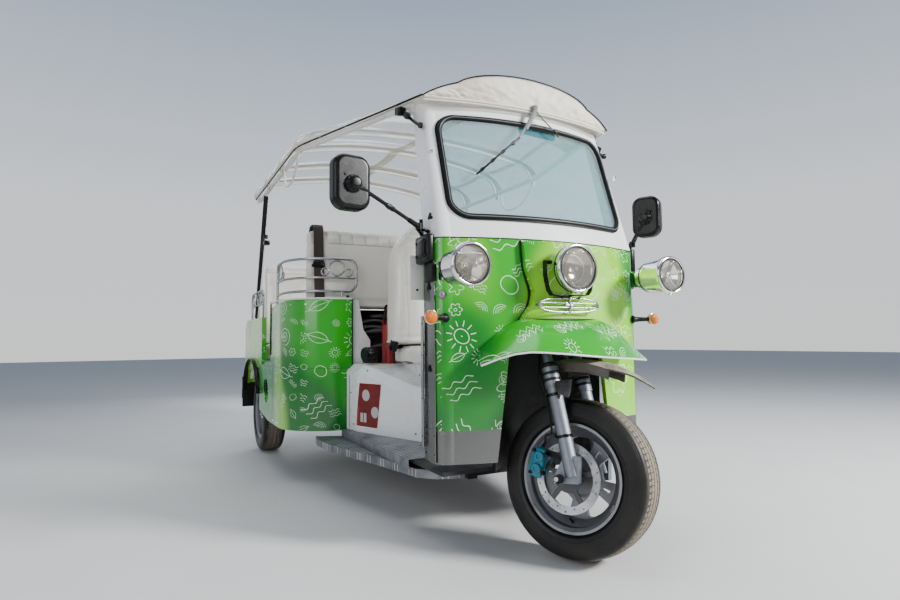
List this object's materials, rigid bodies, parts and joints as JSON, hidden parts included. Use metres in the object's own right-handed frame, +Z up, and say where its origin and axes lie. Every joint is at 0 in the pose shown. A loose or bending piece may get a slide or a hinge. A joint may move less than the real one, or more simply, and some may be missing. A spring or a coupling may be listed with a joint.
{
  "type": "passenger auto rickshaw",
  "caption": "Open-sided passenger three-wheeler with a steered front wheel on a telescopic fork, driver's cab, two facing benches and a cloth roof.",
  "frame": {"origin": "on the ground, under the centre of the vehicle's box at rest", "axes": "+Z up, +Y to the rear, +X to the vehicle's left; the vehicle faces -Y"},
  "size_m": [1.6366, 3.4508, 2.0298],
  "materials": {
    "frame_black": "satin black paint",
    "floor_rubber": "ribbed mat",
    "chequer_plate": "worn chequer plate",
    "white_shell": "gloss white",
    "green_wrap": "gloss film with white line motifs",
    "stainless": "brushed",
    "clear_glass": "laminated, pale green edge",
    "black_rubber": "satin",
    "lamp_chrome": "polished",
    "lamp_glass": "fluted",
    "amber_lens": "ribbed amber",
    "black_plastic": "fine grain",
    "cream_vinyl": "coated cloth",
    "white_tube": "gloss",
    "polished_tube": "polished, weathered",
    "white_vinyl": "soft vinyl with pleats",
    "cast_case": "rough",
    "red_paint": "gloss",
    "red_lens": "ribbed",
    "fork_alloy": "satin",
    "teal_paint": "anodised",
    "tyre": "worn",
    "wheel_alloy": "cast, satin",
    "disc_steel": "ground"
  },
  "bodies": {
    "root": {"chassis_frame": "frame_black", "floor_pan": "floor_rubber", "wheel_arch": "frame_black", "step_plates": "chequer_plate", "seat_plinth": "white_shell", "front_panel": "green_wrap", "front_shell": "white_shell", "kick_plates": "stainless", "windshield": "clear_glass", "windshield_gasket": "black_rubber", "nose_cowl": "green_wrap", "nose_mudguard": "green_wrap", "headlamp": "lamp_chrome", "side_lamps": "lamp_chrome", "lamp_lenses": "lamp_glass", "indicators": "amber_lens", "mirrors": "black_plastic", "wiper": "black_plastic", "canopy": "cream_vinyl", "roof_frame": "white_tube", "side_panels": "green_wrap", "quarter_panels": "green_wrap", "tail_panel": "green_wrap", "guard_rails": "polished_tube", "bench_bases": "white_shell", "service_shelf": "frame_black", "bench_front_cushion": "white_vinyl", "bench_front_back": "white_vinyl", "bench_rear_cushion": "white_vinyl", "bench_rear_back": "white_vinyl", "driver_cushion": "white_vinyl", "driver_back": "white_vinyl", "dashboard": "black_plastic", "rear_axle": "frame_black", "motor": "cast_case", "extinguisher": "red_paint", "tail_lamps": "red_lens"},
    "steering": {"fork": "fork_alloy", "handlebar": "black_plastic", "fork_mudguard": "black_plastic", "brake_caliper": "teal_paint"},
    "front_wheel": {"front_tyre": "tyre", "front_rim": "wheel_alloy", "front_disc": "disc_steel"},
    "rear_wheel_right": {"rear_tyre_right": "tyre", "rear_rim_right": "wheel_alloy"},
    "rear_wheel_left": {"rear_tyre_left": "tyre", "rear_rim_left": "wheel_alloy"}
  },
  "joints": [
    {"name": "steering", "type": "hinge", "parent": "root", "child": "steering", "pos_m": [0.06408, -1.3052, 0.85], "axis": [0, 0.309, 0.9511], "range_deg": [-63.5, 12.5]},
    {"name": "front_wheel_spin", "type": "hinge", "parent": "steering", "child": "front_wheel", "pos_m": [0.04686, -1.45259, 0.27955], "axis": [0.9026, 0.4094, -0.133], "continuous": true},
    {"name": "rear_wheel_right_spin", "type": "hinge", "parent": "root", "child": "rear_wheel_right", "pos_m": [-0.56692, 1.30241, 0.2785], "axis": [1, 0, 0], "continuous": true},
    {"name": "rear_wheel_left_spin", "type": "hinge", "parent": "root", "child": "rear_wheel_left", "pos_m": [0.69508, 1.30241, 0.2785], "axis": [1, 0, 0], "continuous": true}
  ]
}
